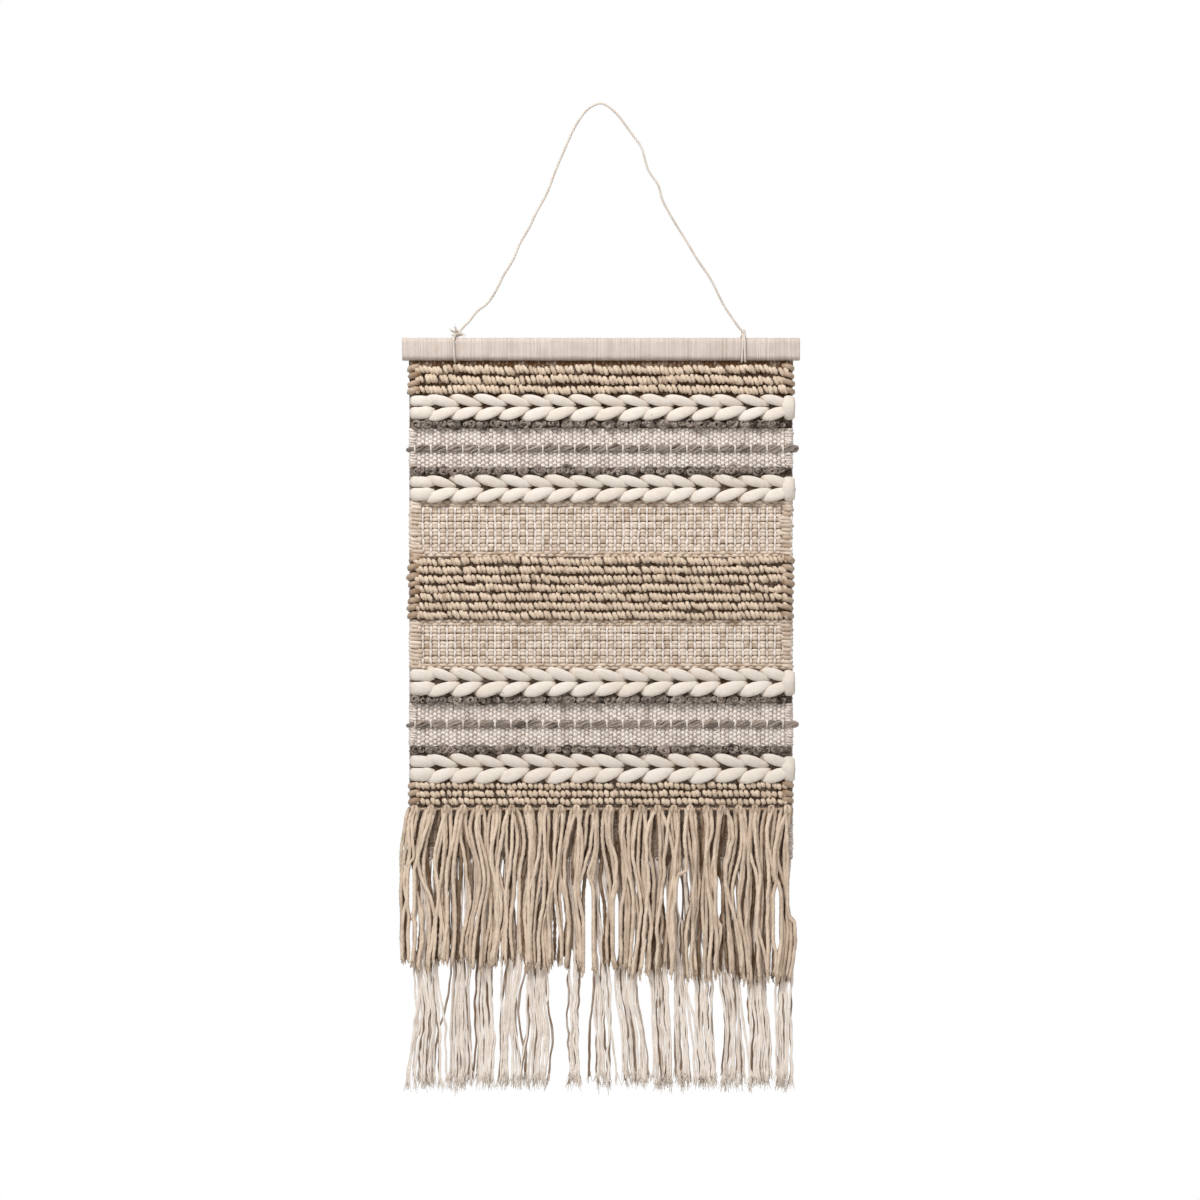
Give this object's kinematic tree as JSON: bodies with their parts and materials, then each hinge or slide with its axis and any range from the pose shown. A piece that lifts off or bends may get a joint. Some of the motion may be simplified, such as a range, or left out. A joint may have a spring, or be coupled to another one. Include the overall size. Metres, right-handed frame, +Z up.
{
  "type": "woven wall hanging",
  "caption": "Woven wall hanging on a thread-wrapped batten with a hanging cord, loop pile and chain braid bands, and two layers of fringe.",
  "frame": {"origin": "crown of the hanging cord, the point that a nail or hook carries", "axes": "+X to the viewer's right along the bar, +Y towards the wall, +Z up; the front faces -Y"},
  "size_m": [0.45, 0.0249, 1.1209],
  "materials": {
    "wood": "plain sawn softwood, unfinished, hidden but for its end grain",
    "winding_thread": "matt pinkish beige cotton thread, wound side by side",
    "cord_cotton": "matt off-white two-ply cotton cord",
    "ground_weave": "matt plain weave of off-white warp and cream, grey and tan weft",
    "loop_yarn": "matt beige spun cotton yarn",
    "roving": "soft cream roving, matt with a faint nap",
    "grey_yarn": "matt mottled grey brown bouclé yarn",
    "fringe_yarn": "matt beige spun cotton yarn",
    "warp_yarn": "matt off-white cotton warp yarn"
  },
  "bodies": {
    "cord": {"hanging_cord": "cord_cotton"},
    "bar": {"batten": "wood", "bar_wrap": "winding_thread", "left_knot": "cord_cotton", "right_hitch": "cord_cotton"},
    "cloth_upper": {"ground_cloth_upper": "ground_weave", "loop_pile_top": "loop_yarn", "braid_1": "roving", "boucle_row_1": "grey_yarn", "dash_row_1": "grey_yarn", "boucle_row_2": "grey_yarn", "braid_2": "roving", "loop_pile_middle": "loop_yarn"},
    "cloth_lower": {"ground_cloth_lower": "ground_weave", "braid_3": "roving", "boucle_row_3": "grey_yarn", "dash_row_2": "grey_yarn", "boucle_row_4": "grey_yarn", "braid_4": "roving", "loop_pile_bottom": "loop_yarn", "fringe_cord": "loop_yarn"},
    "front_fringe": {"front_tassel_01": "fringe_yarn", "front_tassel_02": "fringe_yarn", "front_tassel_03": "fringe_yarn", "front_tassel_04": "fringe_yarn", "front_tassel_05": "fringe_yarn", "front_tassel_06": "fringe_yarn", "front_tassel_07": "fringe_yarn", "front_tassel_08": "fringe_yarn", "front_tassel_09": "fringe_yarn", "front_tassel_10": "fringe_yarn", "front_tassel_11": "fringe_yarn", "front_tassel_12": "fringe_yarn", "front_tassel_13": "fringe_yarn", "front_tassel_14": "fringe_yarn", "front_tassel_15": "fringe_yarn", "front_tassel_16": "fringe_yarn", "front_tassel_17": "fringe_yarn", "front_tassel_18": "fringe_yarn", "front_tassel_19": "fringe_yarn", "front_tassel_20": "fringe_yarn", "front_tassel_21": "fringe_yarn", "front_tassel_22": "fringe_yarn", "front_tassel_23": "fringe_yarn", "front_tassel_24": "fringe_yarn"},
    "warp_fringe": {"warp_tassel_01": "warp_yarn", "warp_tassel_02": "warp_yarn", "warp_tassel_03": "warp_yarn", "warp_tassel_04": "warp_yarn", "warp_tassel_05": "warp_yarn", "warp_tassel_06": "warp_yarn", "warp_tassel_07": "warp_yarn", "warp_tassel_08": "warp_yarn", "warp_tassel_09": "warp_yarn", "warp_tassel_10": "warp_yarn", "warp_tassel_11": "warp_yarn", "warp_tassel_12": "warp_yarn"}
  },
  "joints": [
    {"name": "bar_swing", "type": "hinge", "parent": "cord", "child": "bar", "pos_m": [-0.0004, 0, -0.2595], "axis": [1, 0, 0], "range_deg": [-75, 75]},
    {"name": "cloth_swing", "type": "hinge", "parent": "bar", "child": "cloth_upper", "pos_m": [0, 0, -0.2911], "axis": [1, 0, 0], "range_deg": [-60, 60]},
    {"name": "cloth_fold", "type": "hinge", "parent": "cloth_upper", "child": "cloth_lower", "pos_m": [0, 0, -0.6113], "axis": [1, 0, 0], "range_deg": [-90, 90]},
    {"name": "front_fringe_swing", "type": "hinge", "parent": "cloth_lower", "child": "front_fringe", "pos_m": [0, -0.0054, -0.79745], "axis": [1, 0, 0], "range_deg": [-110, 0]},
    {"name": "warp_fringe_swing", "type": "hinge", "parent": "cloth_lower", "child": "warp_fringe", "pos_m": [0, 0, -0.85525], "axis": [1, 0, 0], "range_deg": [0, 90]}
  ]
}
